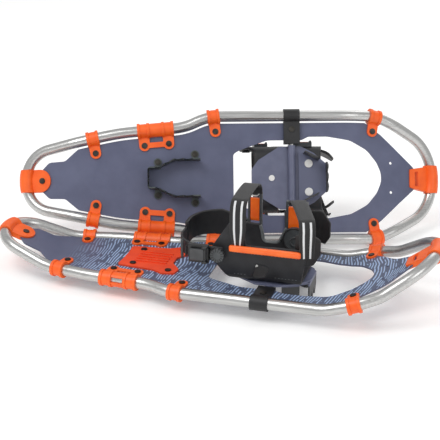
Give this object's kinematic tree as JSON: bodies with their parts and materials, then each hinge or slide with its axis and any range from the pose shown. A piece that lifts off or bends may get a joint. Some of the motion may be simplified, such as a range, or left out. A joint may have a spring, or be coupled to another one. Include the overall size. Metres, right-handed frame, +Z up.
{
  "type": "snowshoes",
  "caption": "Pair of tube-frame snowshoes with riveted decks, pivoting strap bindings and crampons, one flat and one standing on edge behind it.",
  "frame": {"origin": "on the ground, under the middle of the pair's box", "axes": "+X along the right shoe from tail to toe, +Y to the wearer's left, +Z up"},
  "size_m": [0.6488, 0.4328, 0.1944],
  "materials": {
    "frame_alloy": "satin drawn tube",
    "deck_sheet": "matte flexible sheet",
    "orange_moulding": "satin moulded",
    "orange_pad": "satin moulded",
    "orange_grip": "soft gloss",
    "rivet_metal": "satin",
    "crampon_alloy": "dull anodised",
    "black_strap": "matte moulded",
    "axle_steel": "ground",
    "plate_enamel": "satin powder coat",
    "claw_steel": "dull",
    "washer_white": "matte",
    "charcoal_rubber": "satin moulded",
    "black_rubber": "matte moulded",
    "webbing": "woven with reflective stripes",
    "buckle_grey": "satin moulded",
    "black_plastic": "matte moulded",
    "lever_grey": "satin moulded"
  },
  "bodies": {
    "right_frame": {"right_frame_tube": "frame_alloy", "right_deck": "deck_sheet", "right_tail_clip": "orange_moulding", "right_toe_clip": "orange_moulding", "right_rear_clips": "orange_moulding", "right_double_clips": "orange_moulding", "right_waist_clips": "orange_moulding", "right_toe_side_clips": "orange_moulding", "right_deck_rivets": "rivet_metal", "right_heel_crampon": "crampon_alloy", "right_heel_pad": "orange_pad", "right_pivot_straps": "black_strap", "right_pivot_axle": "axle_steel"},
    "right_binding": {"right_foot_plate": "plate_enamel", "right_toe_crampon": "claw_steel", "right_binding_rivets": "washer_white", "right_harness": "charcoal_rubber", "right_toe_guards": "black_rubber", "right_instep_strap": "webbing", "right_toe_strap": "webbing", "right_pull_bar": "orange_grip", "right_instep_buckle": "buckle_grey", "right_toe_buckle": "buckle_grey", "right_heel_pivots": "buckle_grey"},
    "right_heel_loop": {"right_heel_cup": "black_rubber", "right_heel_strap": "charcoal_rubber", "right_ratchet_base": "black_plastic"},
    "right_instep_lever": {"right_instep_lever": "orange_grip"},
    "right_toe_lever": {"right_toe_lever": "orange_grip"},
    "right_ratchet_lever": {"right_ratchet_lever": "lever_grey"},
    "left_frame": {"left_frame_tube": "frame_alloy", "left_deck": "deck_sheet", "left_tail_clip": "orange_moulding", "left_toe_clip": "orange_moulding", "left_rear_clips": "orange_moulding", "left_double_clips": "orange_moulding", "left_waist_clips": "orange_moulding", "left_toe_side_clips": "orange_moulding", "left_deck_rivets": "rivet_metal", "left_heel_crampon": "crampon_alloy", "left_heel_pad": "orange_pad", "left_pivot_straps": "black_strap", "left_pivot_axle": "axle_steel"},
    "left_binding": {"left_foot_plate": "plate_enamel", "left_toe_crampon": "claw_steel", "left_binding_rivets": "washer_white", "left_harness": "charcoal_rubber", "left_toe_guards": "black_rubber", "left_instep_strap": "webbing", "left_toe_strap": "webbing", "left_pull_bar": "orange_grip", "left_instep_buckle": "buckle_grey", "left_toe_buckle": "buckle_grey", "left_heel_pivots": "buckle_grey"},
    "left_heel_loop": {"left_heel_cup": "black_rubber", "left_heel_strap": "charcoal_rubber", "left_ratchet_base": "black_plastic"},
    "left_instep_lever": {"left_instep_lever": "orange_grip"},
    "left_toe_lever": {"left_toe_lever": "orange_grip"},
    "left_ratchet_lever": {"left_ratchet_lever": "lever_grey"}
  },
  "joints": [
    {"name": "right_binding_pivot", "type": "hinge", "parent": "right_frame", "child": "right_binding", "pos_m": [0.09503, -0.11246, 0.026], "axis": [0, 1, 0], "range_deg": [0, 40]},
    {"name": "right_heel_loop_hinge", "type": "hinge", "parent": "right_binding", "child": "right_heel_loop", "pos_m": [0.02903, -0.11246, 0.074], "axis": [0, 1, 0], "range_deg": [-18, 50]},
    {"name": "right_instep_lever_hinge", "type": "hinge", "parent": "right_binding", "child": "right_instep_lever", "pos_m": [0.05103, -0.05786, 0.086], "axis": [-1, 0, 0], "range_deg": [0, 50]},
    {"name": "right_toe_lever_hinge", "type": "hinge", "parent": "right_binding", "child": "right_toe_lever", "pos_m": [0.11103, -0.05786, 0.068], "axis": [-1, 0, 0], "range_deg": [0, 50]},
    {"name": "right_ratchet_hinge", "type": "hinge", "parent": "right_heel_loop", "child": "right_ratchet_lever", "pos_m": [0.01253, -0.17896, 0.074], "axis": [0, 0, 1], "range_deg": [0, 70]},
    {"name": "left_binding_pivot", "type": "hinge", "parent": "left_frame", "child": "left_binding", "pos_m": [0.07185, 0.07995, 0.09907], "axis": [0.1267, -0.4032, -0.9063], "range_deg": [0, 40]},
    {"name": "left_heel_loop_hinge", "type": "hinge", "parent": "left_binding", "child": "left_heel_loop", "pos_m": [-0.00416, 0.10166, 0.07879], "axis": [0.1267, -0.4032, -0.9063], "range_deg": [-18, 50]},
    {"name": "left_instep_lever_hinge", "type": "hinge", "parent": "left_binding", "child": "left_instep_lever", "pos_m": [0.00665, 0.14065, 0.1232], "axis": [0.954, 0.2999, 0], "range_deg": [0, 50]},
    {"name": "left_toe_lever_hinge", "type": "hinge", "parent": "left_binding", "child": "left_toe_lever", "pos_m": [0.06878, 0.14308, 0.13081], "axis": [0.954, 0.2999, 0], "range_deg": [0, 50]},
    {"name": "left_ratchet_hinge", "type": "hinge", "parent": "left_heel_loop", "child": "left_ratchet_lever", "pos_m": [-0.01147, 0.0699, 0.01852], "axis": [0.2718, -0.8646, 0.4226], "range_deg": [0, 70]},
    {"name": "left_shoe_lift", "type": "slide", "parent": "right_frame", "child": "left_frame", "axis": [0, 0, 1], "range_m": [0, 0.3]}
  ]
}
